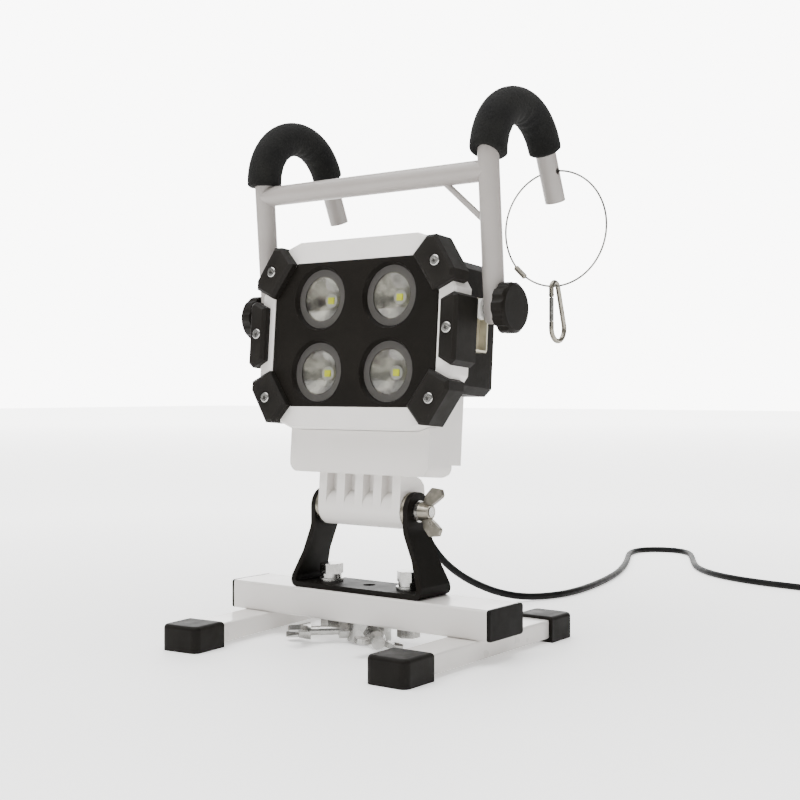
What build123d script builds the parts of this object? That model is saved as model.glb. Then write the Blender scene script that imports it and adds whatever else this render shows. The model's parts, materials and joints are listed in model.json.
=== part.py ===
"""Portable four-lens LED work light on an H-shaped floor stand, in millimetres.

The origin is on the floor at the centre of the stand. +X is to the right seen from the front,
the lenses face -Y and +Z is up. One STEP file is written for each sub-part.
"""
from build123d import *
from math import atan2, cos, degrees, hypot, pi, radians, sin, tan
import os

# ---------------------------------------------------------------- driving dimensions
# stand
CROSS_LENGTH = 275.0  # over the end caps
CROSS_WIDTH = 50.0
CROSS_HEIGHT = 25.0
CROSS_BOTTOM = 19.0
CROSS_WALL = 1.6
CAP_PLATE = 3.0
CAP_PLUG = 12.0
FOOT_WIDTH = 30.0
FOOT_HEIGHT = 16.0
FOOT_LENGTH = 237.0
FOOT_BOTTOM = 3.0
FOOT_WALL = 1.5
FOOT_X = 110.0
LEFT_TOE = 5.35  # the left foot is set a little askew on its screw
LEFT_SHIFT = -4.0
RIGHT_TOE = 0.6
BOOT_WALL = 3.7
BOOT_END = 5.6
BOOT_LENGTH = 36.0
BOOT_HEIGHT = 21.6
BOOT_CORNER = 6.0
BOOT_EDGE = 3.2
# socket for a tripod mast, and its two clamping screws
MAST_RADIUS = 16.25
MAST_HOLE = 16.6
SOCKET_RADIUS = 19.0
SOCKET_LOW = 2.0
CLAMP_Z = 10.8
CLAMP_ANGLES = {"left_mast_screw": 225.0, "right_mast_screw": 315.0}
CLAMP_TILT = {"left_mast_screw": 20.0, "right_mast_screw": -11.0}
CLAMP_HUB = 50.0
WING_THREAD = 7.9
# outline of a wing nut's ear: along the screw from the hub's base, and out from its axis
EAR = [
    (0.7, 4.5), (3.6, 13.5), (9.6, 20.2), (18.5, 19.2), (20.3, 13.4), (13.6, 8.0), (7.0, 3.5),
    (1.0, 3.0),
]
# bracket
PLATE = 4.5
ARM_OUTER = 51.6
ARM_WIDTH = 31.5
BASE_WIDTH = 43.5
SPLAY_OUTER = 69.0
SPLAY_Z = 54.0
KNEE_Z = 98.0
FLARE_TOP = 75.0
FLARE_LOW = 50.0
BRACKET_BOLT_X = 41.5
BOLT_HOLE = 5.25
BOLT_TURNS = (-19, 20)  # how each bolt's hexagon stands, in degrees
BOLT_FLATS = 17.5
BOLT_HEAD = 8.6
FLAT_WASHER = 2.8
SPRING_WASHER = 4.0
CENTRE_HOLE = 11.0
# tilt pivot
PIVOT_Z = 114.0
BARREL_RADIUS = 15.6
BARREL_HALF = 43.5
DISC_GAP = 0.3
PIVOT_BOLT = 8.0
SLEEVE_RADIUS = 6.0
RUNNING = 0.05  # radial clearance of a running fit
# lamp head, in its own upright frame with the tilt axis at its origin
HEAD_LEAN = 4.5
HEAD_Z = 145.5  # middle of the lamp above the tilt axis
FACE_Y = -35.0
SHROUD_BACK = -12.0
SHROUD_WALL = 3.0
SHROUD_TOP = (62.7, 80.5)
SHROUD_CORNER = (75.5, 75.8)
SHROUD_SIDE = (102.7, 35.0)
BEZEL_TOP = (64.0, 61.7)
BEZEL_SIDE = (87.0, 31.5)
BEZEL_FRONT = -35.4
BEZEL_PLATE = 4.0
LENS_PITCH_X = 74.0
LENS_PITCH_Z = 62.8
LENS_MOUTH = 27.6
LENS_VIEW = 25.2
LENS_FLANGE = 27.0
LENS_RING = 19.2
LENS_DOME = 82.0
BOARD_Y = BEZEL_FRONT + BEZEL_PLATE + 11.2
LEDGE_BACK = -29.4
GUARD_FRONT = -43.5
CORNER_GUARD_BACK = -20.0
SIDE_GUARD_BACK = -13.0
GUARD_BEVEL = 2.6
SCREW_CORNER = (87.0, 54.8)
SCREW_SIDE = (101.0, 1.0)
GUARD_SCREW = 1.5
HOUSING_HALF = 98.0
HOUSING_LOW = 97.0
HOUSING_HIGH = 204.5
HOUSING_BACK = 37.0
HOUSING_CORNER = 6.5
FIN_BACK = 51.0
FIN_COUNT = 11
DRIVER_HALF = 74.0
DRIVER_FRONT = -20.6
DRIVER_BACK = 26.3
DRIVER_LOW = 28.3
DRIVER_TOP = 96.8
RIB_PITCH = 19.7
RIB_WIDTH = 8.5
NECK_BACK = 19.0
# channels on the lamp's sides that carry the handle
BRACKET_IN = HOUSING_HALF
BRACKET_OUT = 107.0
BRACKET_FRONT = 8.0  # from the knob's axis to the channel's front and rear edges
BRACKET_REAR = 11.5
BRACKET_DROP = 34.5
BRACKET_WALL = 1.6
# handle, in its own frame with the knob axis at its origin
KNOB_Y = 9.2
KNOB_Z = 279.3
HANDLE_LEAN = 4.5
TUBE = 17.5
TUBE_WALL = 1.5
UPRIGHT_X = 120.0
UPRIGHT_LOW = -12.5
CROSSBAR_V = 109.6
HOOK_RADIUS = 45.6
HOOK_START = 119.4
HOOK_TURN = 161.2
HOOK_LEG = 47.8
FOAM = 30.4
FOAM_TAIL = 6.4
RING_HOLE_ALONG = 21.7
RING_HOLE = 6.2
KNOB_RADIUS = 20.5
KNOB_IN = 129.1
KNOB_OUT = 140.8
KNOB_LOBES = 10
STUD = 8.0
# wire ring and carabiner
WIRE = 1.6
RING_RADIUS = 48.9
RING_SIDE = 5.4
CLASP_ANGLE = 226.0
HOOK_WIRE = 4.2
BOW_NARROW = 5.6
BOW_WIDE = 10.9
BOW_DROP = 49.8
# mains lead
CABLE = 7.0
LEAD_Z = 3.6
COIL_CENTRE = (300.0, 430.0)
COIL_INNER = 24.0
COIL_OUTER = 58.0
COIL_HEIGHT = 29.0
GLAND_X = -48.0
GLAND_Z = 50.0
RELIEF_RADIUS = 82.3
# points of the lead's route, from the strain relief to its coil
ROUTE = [
    (-48, 62.0, 159.3), (-48, 90, 157), (-48, 113, 141), (-47.5, 126, 115), (-44.5, 136, 85),
    (-35.5, 151, 56), (-29, 173, 37), (-22, 201, 22), (-13, 230, 10.5), (-1, 256, 4.6),
    (12, 281, LEAD_Z), (19, 309, LEAD_Z), (18, 350, LEAD_Z), (8, 413, LEAD_Z), (-8, 476, LEAD_Z),
    (-29, 534, LEAD_Z), (-50, 584, LEAD_Z), (-70, 627, LEAD_Z), (-79, 655, LEAD_Z),
    (-79.5, 681, LEAD_Z), (-62, 701, LEAD_Z), (-36, 704, LEAD_Z), (-15, 690, LEAD_Z),
    (2, 660, LEAD_Z), (25, 612, LEAD_Z), (52, 562, LEAD_Z), (92, 523, LEAD_Z),
    (145, 500, LEAD_Z), (205, 491, LEAD_Z), (250, 485, LEAD_Z), (284, 478, LEAD_Z),
]
# from the top of the coil down to the plug
TAIL = [(352, 431, 25.2), (352, 412, 24.4), (351.5, 394, 20), (351, 376, 16)]
PLUG_Y = 376.0
PLUG_Z = 16.0
PLUG_X = 351.0

HEAD = Pos(0, 0, PIVOT_Z) * Rot(-HEAD_LEAN, 0, 0)
HANDLE = Pos(0, KNOB_Y, KNOB_Z) * Rot(HANDLE_LEAN, 0, 0)
PARTS = {}


# ---------------------------------------------------------------- helpers
def keep(name, *shapes):
    """Store a node made of one or more separate solids."""
    solids = [s for shape in shapes for s in shape.solids()]
    PARTS[name] = solids[0] if len(solids) == 1 else Compound(children=solids)


def block(x0, x1, y0, y1, z0, z1):
    """Box between two corners."""
    return Pos((x0 + x1) / 2, (y0 + y1) / 2, (z0 + z1) / 2) * Box(x1 - x0, y1 - y0, z1 - z0)


def rod(start, end, radius):
    """Cylinder from one point to another."""
    axis = Vector(*end) - Vector(*start)
    plane = Plane(origin=start, z_dir=axis)
    return plane * Cylinder(radius, axis.length, align=(Align.CENTER, Align.CENTER, Align.MIN))


def rod_x(x0, x1, y, z, radius):
    return rod((x0, y, z), (x1, y, z), radius)


def rod_y(y0, y1, x, z, radius):
    return rod((x, y0, z), (x, y1, z), radius)


def rod_z(z0, z1, x, y, radius):
    return rod((x, y, z0), (x, y, z1), radius)


def hexagon(start, end, across_flats, turn=0.0):
    """Hexagonal prism from one point to another."""
    axis = Vector(*end) - Vector(*start)
    plane = Plane(origin=start, z_dir=axis)
    face = plane * Rot(0, 0, turn) * RegularPolygon(across_flats / 2, 6, major_radius=False)
    return extrude(face, axis.length, dir=axis)


def slab_xz(points, y0, y1):
    """Flat outline in X and Z, as thick as the stretch of Y between y0 and y1."""
    face = make_face(Plane.XZ * Polyline(*points, close=True))
    return Pos(0, y0, 0) * extrude(face, y1 - y0, dir=(0, 1, 0))


def slab_yz(points, x0, x1):
    """Flat outline in Y and Z, as thick as the stretch of X between x0 and x1."""
    face = make_face(Plane.YZ * Polyline(*points, close=True))
    return Pos(x0, 0, 0) * extrude(face, x1 - x0, dir=(1, 0, 0))


def mirrored(shape):
    return shape.mirror(Plane.YZ)


def both_sides(shape):
    return shape, mirrored(shape)


def octagon(top, side, grow=0.0, corner=None):
    """Eight- or twelve-cornered outline about the middle of the lamp, moved outwards by grow."""
    quarter = [(side[0] + grow, side[1])]
    if corner:
        quarter.append((corner[0] + grow * 0.83, corner[1] + grow * 0.83))
    quarter.append((top[0], top[1] + grow))
    right_top = quarter
    left_top = [(-x, z) for x, z in reversed(quarter)]
    left_low = [(-x, -z) for x, z in quarter]
    right_low = [(x, -z) for x, z in reversed(quarter)]
    return [(x, z + HEAD_Z) for x, z in right_top + left_top + left_low + right_low]


def tube_along(path, radius, start, direction):
    """Solid round bar swept along a path."""
    return sweep(Plane(origin=start, z_dir=direction) * Circle(radius), path=path)


# ---------------------------------------------------------------- stand
def cross_tube():
    half = CROSS_LENGTH / 2 - CAP_PLATE
    w = CROSS_WIDTH / 2
    top = CROSS_BOTTOM + CROSS_HEIGHT
    outer = block(-half, half, -w, w, CROSS_BOTTOM, top)
    outer = fillet(outer.edges().filter_by(Axis.X), 2.5)
    inner = block(
        -half, half, -w + CROSS_WALL, w - CROSS_WALL, CROSS_BOTTOM + CROSS_WALL, top - CROSS_WALL
    )
    inner = fillet(inner.edges().filter_by(Axis.X), 1.2)
    tube = outer - inner
    for x in (-BRACKET_BOLT_X, BRACKET_BOLT_X):
        tube -= rod_z(CROSS_BOTTOM - 1, top + 1, x, 0, BOLT_HOLE)
    tube -= rod_z(CROSS_BOTTOM - 1, CROSS_BOTTOM + CROSS_WALL + 0.5, 0, 0, MAST_HOLE)
    for x in (-FOOT_X, FOOT_X):
        tube -= rod_z(CROSS_BOTTOM - 1, CROSS_BOTTOM + CROSS_WALL + 0.5, x, 0, 4.6)
    keep("cross_tube", tube)
    plug_w = w - CROSS_WALL - 0.3
    plug = block(
        half - CAP_PLUG, half, -plug_w, plug_w, CROSS_BOTTOM + 1.9, top - 1.9
    )
    plug = fillet(plug.edges().filter_by(Axis.X), 1.5)
    plug -= block(half - CAP_PLUG, half, -plug_w + 2, plug_w - 2, CROSS_BOTTOM + 4, top - 4)
    plate = block(half, half + CAP_PLATE, -w, w, CROSS_BOTTOM, top)
    plate = fillet(plate.edges().filter_by(Axis.X), 2.5)
    plate = chamfer(plate.faces().sort_by(Axis.X)[-1].edges(), 0.8)
    keep("cross_tube_caps", *both_sides(plug + plate))


def foot(x, toe, shift):
    """A foot tube, its two rubber boots and its screw, turned by its toe angle."""
    place = Pos(x, 0, 0) * Rot(0, 0, toe) * Pos(0, shift, 0)
    w = FOOT_WIDTH / 2
    half = FOOT_LENGTH / 2
    low, high = FOOT_BOTTOM, FOOT_BOTTOM + FOOT_HEIGHT
    outer = fillet(block(-w, w, -half, half, low, high).edges().filter_by(Axis.Y), 2)
    inner = block(-w + FOOT_WALL, w - FOOT_WALL, -half, half, low + FOOT_WALL, high - FOOT_WALL)
    hole = rod_z(low - 1, high + 1, 0, -shift, 3.3)
    tube = place * (outer - inner - hole)
    boots = []
    for end in (-1, 1):
        boot = block(
            -w - BOOT_WALL, w + BOOT_WALL, half + BOOT_END - BOOT_LENGTH, half + BOOT_END,
            0, BOOT_HEIGHT,
        )
        boot = fillet(boot.edges().filter_by(Axis.Z).sort_by(Axis.Y)[2:], BOOT_CORNER)
        boot = fillet(boot.faces().sort_by(Axis.Z)[-1].edges(), BOOT_EDGE)
        pocket = block(-w, w, 0, half, low, high)
        boots.append(place * Rot(0, 0, 0 if end > 0 else 180) * (boot - pocket))
    return tube, boots


def feet():
    left_tube, left_boots = foot(-FOOT_X, LEFT_TOE, LEFT_SHIFT)
    right_tube, right_boots = foot(FOOT_X, RIGHT_TOE, 0)
    keep("left_foot_tube", left_tube)
    keep("right_foot_tube", right_tube)
    keep("foot_boots", *left_boots, *right_boots)
    screws, nuts = [], []
    for x in (-FOOT_X, FOOT_X):
        head = fillet(rod_z(0.6, FOOT_BOTTOM, x, 0, 6.5).edges().sort_by(Axis.Z)[0], 1.2)
        head -= hexagon((x, 0, 0.5), (x, 0, 2.2), 4)
        shank = rod_z(FOOT_BOTTOM, CROSS_BOTTOM + 9, x, 0, 3)
        screws.append(head + shank)
        body = rod_z(CROSS_BOTTOM, CROSS_BOTTOM + 8, x, 0, 4.5)
        flange = rod_z(CROSS_BOTTOM + CROSS_WALL, CROSS_BOTTOM + 8, x, 0, 6)
        nuts.append(body + flange - rod_z(CROSS_BOTTOM - 1, CROSS_BOTTOM + 10, x, 0, 3))
    keep("foot_screws", *screws)
    keep("foot_rivet_nuts", *nuts)


def tripod_socket():
    """Short steel collar under the cross tube, with a welded nut for each of its clamp screws."""
    collar = rod_z(SOCKET_LOW, CROSS_BOTTOM, 0, 0, SOCKET_RADIUS)
    for angle in CLAMP_ANGLES.values():
        a = radians(angle)
        near = (16 * cos(a), 16 * sin(a), CLAMP_Z)
        far = (26 * cos(a), 26 * sin(a), CLAMP_Z)
        collar += hexagon(near, far, 13)
    for angle in CLAMP_ANGLES.values():
        a = radians(angle)
        collar -= rod((0, 0, CLAMP_Z), (30 * cos(a), 30 * sin(a), CLAMP_Z), WING_THREAD / 2 + RUNNING)
    keep("tripod_socket", collar - rod_z(0, CROSS_BOTTOM + 1, 0, 0, MAST_RADIUS))


def wing_pair(along, thick):
    """The two ears of a wing nut or wing screw: the screw's axis is X, the ears spread in Z."""
    ears = []
    for side in (1, -1):
        outline = [(along + a, side * out) for a, out in EAR]
        face = make_face(Plane.XZ * Polyline(*outline, close=True))
        face = fillet(face.vertices().filter_by(lambda v: abs(v.Z) > 12), 2.2)
        ears.append(Pos(0, -thick / 2, 0) * extrude(face, thick, dir=(0, 1, 0)))
    return ears[0] + ears[1]


def hub_cone(along, low, high, length):
    """Tapered hub along +X."""
    align = (Align.CENTER, Align.CENTER, Align.MIN)
    return Pos(along, 0, 0) * Rot(0, 90, 0) * Cone(low, high, length, align=align)


def wing_screw(tip, hub):
    """Wing screw along +X: a round thread from tip to hub, then its hub and two ears."""
    thread = chamfer(rod_x(tip, hub, 0, 0, WING_THREAD / 2).edges().sort_by(Axis.X)[0], 0.8)
    return thread + hub_cone(hub, 7.6, 5.6, 10) + wing_pair(hub, 4.2)


def mast_screws():
    for name, angle in CLAMP_ANGLES.items():
        # the ears lie nearly flat, so they pass over the floor
        turned = Rot(90 + CLAMP_TILT[name], 0, 0) * wing_screw(MAST_RADIUS + 0.35, CLAMP_HUB)
        keep(name, Pos(0, 0, CLAMP_Z) * Rot(0, 0, angle) * turned)


# ---------------------------------------------------------------- bracket
def u_bracket():
    top = PIVOT_Z + ARM_WIDTH / 2
    foot_z = CROSS_BOTTOM + CROSS_HEIGHT
    side_points = [
        (SPLAY_OUTER, foot_z), (SPLAY_OUTER, SPLAY_Z), (ARM_OUTER, KNEE_Z), (ARM_OUTER, top + 10),
    ]
    outline = side_points + [(-x, z) for x, z in reversed(side_points)]
    outer = make_face(Plane.XZ * Polyline(*outline, close=True))
    bottom = outer.vertices().group_by(Axis.Z)[0]
    outer = fillet(bottom, 6)
    outer = fillet(outer.vertices().filter_by(lambda v: abs(v.Z - KNEE_Z) < 1), 14)
    inner = offset(outer, -PLATE)
    strip = extrude(outer, BASE_WIDTH, both=True) - extrude(inner, BASE_WIDTH, both=True)
    w, b = ARM_WIDTH / 2, BASE_WIDTH / 2
    side = make_face(
        Plane.YZ
        * (
            Polyline((-w, PIVOT_Z), (-w, FLARE_TOP), (-b, FLARE_LOW), (-b, foot_z - 1))
            + Line((-b, foot_z - 1), (b, foot_z - 1))
            + Polyline((b, foot_z - 1), (b, FLARE_LOW), (w, FLARE_TOP), (w, PIVOT_Z))
            + ThreePointArc((w, PIVOT_Z), (0, top), (-w, PIVOT_Z))
        )
    )
    bracket = strip & extrude(side, 80, both=True, dir=(1, 0, 0))
    bracket -= rod_x(-80, 80, 0, PIVOT_Z, PIVOT_BOLT / 2 + RUNNING)
    for x, r in ((-BRACKET_BOLT_X, BOLT_HOLE), (0, CENTRE_HOLE / 2), (BRACKET_BOLT_X, BOLT_HOLE)):
        bracket -= rod_z(foot_z - 1, foot_z + PLATE + 1, x, 0, r)
    keep("u_bracket", bracket)


def bracket_fasteners():
    """Two M10 bolts that hold the bracket on the cross tube."""
    top = CROSS_BOTTOM + CROSS_HEIGHT + PLATE
    ledge = top + FLAT_WASHER
    seat = ledge + SPRING_WASHER
    bolts, flats, springs, nuts = [], [], [], []
    for x, turn in zip((-BRACKET_BOLT_X, BRACKET_BOLT_X), BOLT_TURNS):
        hole = rod_z(top - 1, seat + 1, x, 0, 5.2)
        flats.append(rod_z(top, ledge, x, 0, 10.5) - hole)
        gap = Pos(x + 7, 0, (ledge + seat) / 2) * Rot(28, 0, 0) * Box(6, 1.6, 2 * SPRING_WASHER)
        springs.append(rod_z(ledge, seat, x, 0, 8.6) - hole - gap)
        head = hexagon((x, 0, seat), (x, 0, seat + BOLT_HEAD), BOLT_FLATS, turn)
        head &= Pos(x, 0, seat) * Cone(14.4, 8.8, 10, align=(Align.CENTER, Align.CENTER, Align.MIN))
        bolts.append(head + rod_z(8.8, seat, x, 0, 5))
        flats.append(rod_z(CROSS_BOTTOM - 2, CROSS_BOTTOM, x, 0, 10.5) - rod_z(15, 20, x, 0, 5.2))
        nuts.append(
            hexagon((x, 0, CROSS_BOTTOM - 10), (x, 0, CROSS_BOTTOM - 2), 17, turn + 9)
            - rod_z(5, 20, x, 0, 5)
        )
    keep("bracket_bolts", *bolts)
    keep("bracket_washers", *flats, *springs)
    keep("bracket_nuts", *nuts)


def pivot_hardware():
    """The M8 bolt that the head tilts on, with its washers, lock discs and wing nut."""
    r = PIVOT_BOLT / 2
    left = -ARM_OUTER - 1.6
    bolt = hexagon((left - 5.3, 0, PIVOT_Z), (left, 0, PIVOT_Z), 13, 10)
    bolt += rod_x(left, ARM_OUTER + 13.6, 0, PIVOT_Z, r)
    keep("pivot_bolt", bolt)
    hole = rod_x(-90, 90, 0, PIVOT_Z, r)
    washers = [rod_x(x, x + 1.6, 0, PIVOT_Z, 9) - hole for x in (left, ARM_OUTER)]
    spring = rod_x(ARM_OUTER + 1.6, ARM_OUTER + 3.6, 0, PIVOT_Z, 7) - hole
    spring -= Pos(ARM_OUTER + 2.6, 0, PIVOT_Z + 5.5) * Box(4, 1.4, 5)
    keep("pivot_washers", *washers, spring)
    inner = ARM_OUTER - PLATE
    disc = rod_x(BARREL_HALF + DISC_GAP, inner, 0, PIVOT_Z, 15.5)
    for i in range(24):
        groove = Pos(BARREL_HALF + DISC_GAP, 0, 11.5) * Rot(0, 0, 45) * Box(1.2, 1.2, 9)
        disc -= Pos(0, 0, PIVOT_Z) * Rot(i * 15, 0, 0) * groove
    keep("lock_discs", *both_sides(disc - hole))
    start = ARM_OUTER + 3.9
    nut = hub_cone(start, 8, 6, 9) + wing_pair(start, 4.2)
    nut -= rod_x(start - 1, start + 12, 0, 0, r + RUNNING)
    keep("wing_nut", Pos(0, 0, PIVOT_Z) * Rot(-6, 0, 0) * nut)


# ---------------------------------------------------------------- lamp head
def driver_housing():
    """Cast box for the driver, with the ribbed neck and the barrel that it tilts on."""
    half, front, back = DRIVER_HALF, DRIVER_FRONT, DRIVER_BACK
    step = SHROUD_BACK + 0.4
    low = HEAD_Z - SHROUD_TOP[1] - 0.4
    high = HEAD_Z - SHROUD_CORNER[1]
    body = slab_yz(
        [
            (front, DRIVER_LOW), (10, DRIVER_LOW), (13, DRIVER_LOW + 3), (13, 39), (back, 39),
            (back, DRIVER_TOP), (step, DRIVER_TOP), (step, high), (front, high),
        ],
        -half, half,
    )
    body = fillet(body.edges().filter_by(Axis.Y).group_by(Axis.Z)[0], 9)
    body -= shroud_solid(0.4, FACE_Y, step)
    cavity = block(-half + 4, half - 4, front + 4, back + 1, 43, low - 4)
    cavity += block(-half + 4, half - 4, step + 4, back + 1, 43, DRIVER_TOP - 4)
    body -= cavity
    neck = rod_x(-BARREL_HALF, BARREL_HALF, 0, 0, BARREL_RADIUS)
    neck += block(-BARREL_HALF, BARREL_HALF, -6, 6, 8, DRIVER_LOW)
    r = BARREL_RADIUS
    profile = [
        (-r, 0), (-r, DRIVER_LOW), (7, DRIVER_LOW), (13, 26), (17.5, 21.5), (NECK_BACK, 15),
        (NECK_BACK, 9), (17, 2.5), (r, 0),
    ]
    for i in range(-2, 3):
        x = i * RIB_PITCH
        neck += slab_yz(profile, x - RIB_WIDTH / 2, x + RIB_WIDTH / 2)
    shell = body + neck - rod_x(-60, 60, 0, 0, SLEEVE_RADIUS)
    keep("driver_housing", HEAD * shell)
    cover = block(-half + 4.2, half - 4.2, back - 3, back, 43.2, DRIVER_TOP - 4.2)
    cover -= rod_y(back - 4, back + 1, GLAND_X, GLAND_Z, 6.1)
    spots = [(x, z) for x in (-64, 64) for z in (49.5, DRIVER_TOP - 10)]
    screws = []
    for x, z in spots:
        cover -= rod_y(back - 4, back + 1, x, z, 2)
        head = fillet(rod_y(back, back + 2.2, x, z, 3.8).edges().sort_by(Axis.Y)[-1], 1)
        head -= Pos(x, back + 2.2, z) * Box(4.6, 1.6, 0.9)
        head -= Pos(x, back + 2.2, z) * Box(0.9, 1.6, 4.6)
        screws.append(HEAD * (head + rod_y(back - 10, back, x, z, 2)))
    keep("driver_cover", HEAD * cover)
    keep("driver_cover_screws", *screws)
    board = block(-58, 58, 2, 3.6, 45, 88)
    parts = block(-50, -30, 3.6, 17, 66, 84) + block(-20, 4, 3.6, 19, 60, 84)
    parts += rod_y(3.6, 18, 22, 76, 8) + rod_y(3.6, 15, 42, 74, 6) + block(14, 50, 3.6, 12, 50, 62)
    keep("driver_board", HEAD * (board + parts))
    keep("pivot_sleeve", HEAD * sleeve())


def sleeve():
    body = rod_x(-BARREL_HALF, BARREL_HALF, 0, 0, SLEEVE_RADIUS)
    return body - rod_x(-60, 60, 0, 0, PIVOT_BOLT / 2 + RUNNING)


def shroud_solid(grow, y0, y1):
    points = octagon(SHROUD_TOP, SHROUD_SIDE, grow, SHROUD_CORNER)
    return slab_xz(points, y0, y1)


def front_shroud():
    outer = shroud_solid(0, FACE_Y, SHROUD_BACK)
    outer = chamfer(outer.faces().sort_by(Axis.Y)[0].edges(), 1.6)
    inner = shroud_solid(-SHROUD_WALL, FACE_Y + SHROUD_WALL, SHROUD_BACK + 1)
    pocket = slab_xz(octagon(BEZEL_TOP, BEZEL_SIDE, 0.2), FACE_Y - 1, FACE_Y + SHROUD_WALL + 1)
    shell = outer - inner
    ledge = slab_xz(octagon(BEZEL_TOP, BEZEL_SIDE, 4), FACE_Y + SHROUD_WALL, LEDGE_BACK)
    opening = slab_xz(octagon(BEZEL_TOP, BEZEL_SIDE, -2.1), FACE_Y - 1, LEDGE_BACK + 1)
    deep_pocket = slab_xz(octagon(BEZEL_TOP, BEZEL_SIDE, 0.2), FACE_Y - 1, BEZEL_FRONT + BEZEL_PLATE)
    shell = (shell - pocket) + (ledge - opening - deep_pocket)
    for x, z in screw_places():
        shell -= rod_y(FACE_Y - 1, FACE_Y + 8, x, z, GUARD_SCREW)
    keep("front_shroud", HEAD * shell)


def screw_places():
    cx, cz = SCREW_CORNER
    sx, sz = SCREW_SIDE
    places = [(sx, HEAD_Z + sz), (-sx, HEAD_Z + sz)]
    return places + [(i * cx, HEAD_Z + j * cz) for i in (-1, 1) for j in (-1, 1)]


def lens_places():
    x, z = LENS_PITCH_X / 2, LENS_PITCH_Z / 2
    return [(i * x, HEAD_Z - 0.8 + j * z) for j in (1, -1) for i in (-1, 1)]


def optics():
    back = BEZEL_FRONT + BEZEL_PLATE
    bezel = slab_xz(octagon(BEZEL_TOP, BEZEL_SIDE), BEZEL_FRONT, back)
    bezel = chamfer(bezel.faces().sort_by(Axis.Y)[0].edges(), 0.8)
    gasket = slab_xz(octagon(BEZEL_TOP, BEZEL_SIDE, -4.2), back + 2, back + 3)
    lenses, reflectors, chips = [], [], []
    align = (Align.CENTER, Align.CENTER, Align.MIN)
    for x, z in lens_places():
        mouth_plane = Plane(origin=(x, BEZEL_FRONT, z), z_dir=(0, 1, 0))
        bezel -= mouth_plane * Cone(LENS_MOUTH, LENS_VIEW, BEZEL_PLATE, align=align)
        gasket -= rod_y(back + 1, back + 4, x, z, 22.6)
        flange = rod_y(back, back + 2, x, z, LENS_FLANGE)
        flange -= rod_y(back - 1, back + 0.9, x, z, LENS_RING)
        bulge = Pos(x, back - 1.4 + LENS_DOME, z) * Sphere(LENS_DOME)
        dome = bulge & rod_y(back - 5, back + 2, x, z, LENS_RING - 0.8)
        lenses.append(HEAD * (flange + dome))
        mouth, seat = back + 3.2, back + 11
        plane = Plane(origin=(x, mouth, z), z_dir=(0, 1, 0))
        cup = plane * Cone(22.2, 6.4, seat - mouth, align=align)
        cup -= plane * Cone(21.2, 5.4, seat - mouth, align=align)
        reflectors.append(HEAD * cup)
        chips.append(HEAD * block(x - 2.6, x + 2.6, seat - 0.6, seat + 0.2, z - 2.6, z + 2.6))
    keep("bezel_plate", HEAD * bezel)
    keep("lens_gasket", HEAD * gasket)
    keep("lenses", *lenses)
    keep("reflectors", *reflectors)
    keep("led_chips", *chips)
    keep("led_board", HEAD * block(-74, 74, BOARD_Y, BOARD_Y + 2, HEAD_Z - 52, HEAD_Z + 52))


def rear_housing():
    """Cast heat sink: a deck that closes the shroud, a deep box and upright cooling fins."""
    deck = shroud_solid(-SHROUD_WALL - 0.3, BOARD_Y + 2, SHROUD_BACK)
    deck -= block(-80, 80, -20, SHROUD_BACK + 1, 0, HOUSING_LOW - 0.6)
    box = block(-HOUSING_HALF, HOUSING_HALF, SHROUD_BACK, HOUSING_BACK, HOUSING_LOW, HOUSING_HIGH)
    box = chamfer(box.edges().filter_by(Axis.Y), HOUSING_CORNER)
    box = chamfer(box.faces().sort_by(Axis.Y)[-1].edges(), 6)
    shell = deck + box
    half = HOUSING_HALF - 18
    pitch = 2 * half / (FIN_COUNT - 1)
    for i in range(FIN_COUNT):
        x = -half + i * pitch
        fin = block(x - 1.5, x + 1.5, HOUSING_BACK - 0.5, FIN_BACK, HOUSING_LOW + 8, HOUSING_HIGH - 8)
        shell += chamfer(fin.edges().filter_by(Axis.X).group_by(Axis.Y)[-1], 5)
    shell -= block(-70, 70, BOARD_Y + 6, HOUSING_BACK - 6, HOUSING_LOW + 8, HOUSING_HIGH - 8)
    keep("rear_housing", HEAD * shell)


def corner_guards():
    outline = [(63.9, 60.9), (77.2, 75.9), (86.2, 76.4), (104.8, 48.2), (104.6, 40.6), (84.8, 31.4)]
    guards = []
    for j in (1, -1):
        points = [(x, HEAD_Z + j * z) for x, z in outline]
        guard = slab_xz(points, GUARD_FRONT, CORNER_GUARD_BACK)
        guard = chamfer(guard.faces().sort_by(Axis.Y)[0].edges(), GUARD_BEVEL)
        guard -= shroud_solid(0.05, FACE_Y, 0)
        guard -= slab_xz(octagon(BEZEL_TOP, BEZEL_SIDE, 0.1), BEZEL_FRONT - 0.1, 0)
        guard = drilled(guard, SCREW_CORNER[0], HEAD_Z + j * SCREW_CORNER[1])
        guard = max(guard.solids(), key=lambda s: s.volume)
        guards += [HEAD * g for g in both_sides(guard)]
    keep("corner_guards", *guards)


def drilled(guard, x, z):
    guard -= rod_y(GUARD_FRONT - 1, FACE_Y + 8, x, z, GUARD_SCREW)
    return guard - rod_y(GUARD_FRONT - 1, GUARD_FRONT + 2.2, x, z, 4.9)


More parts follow.
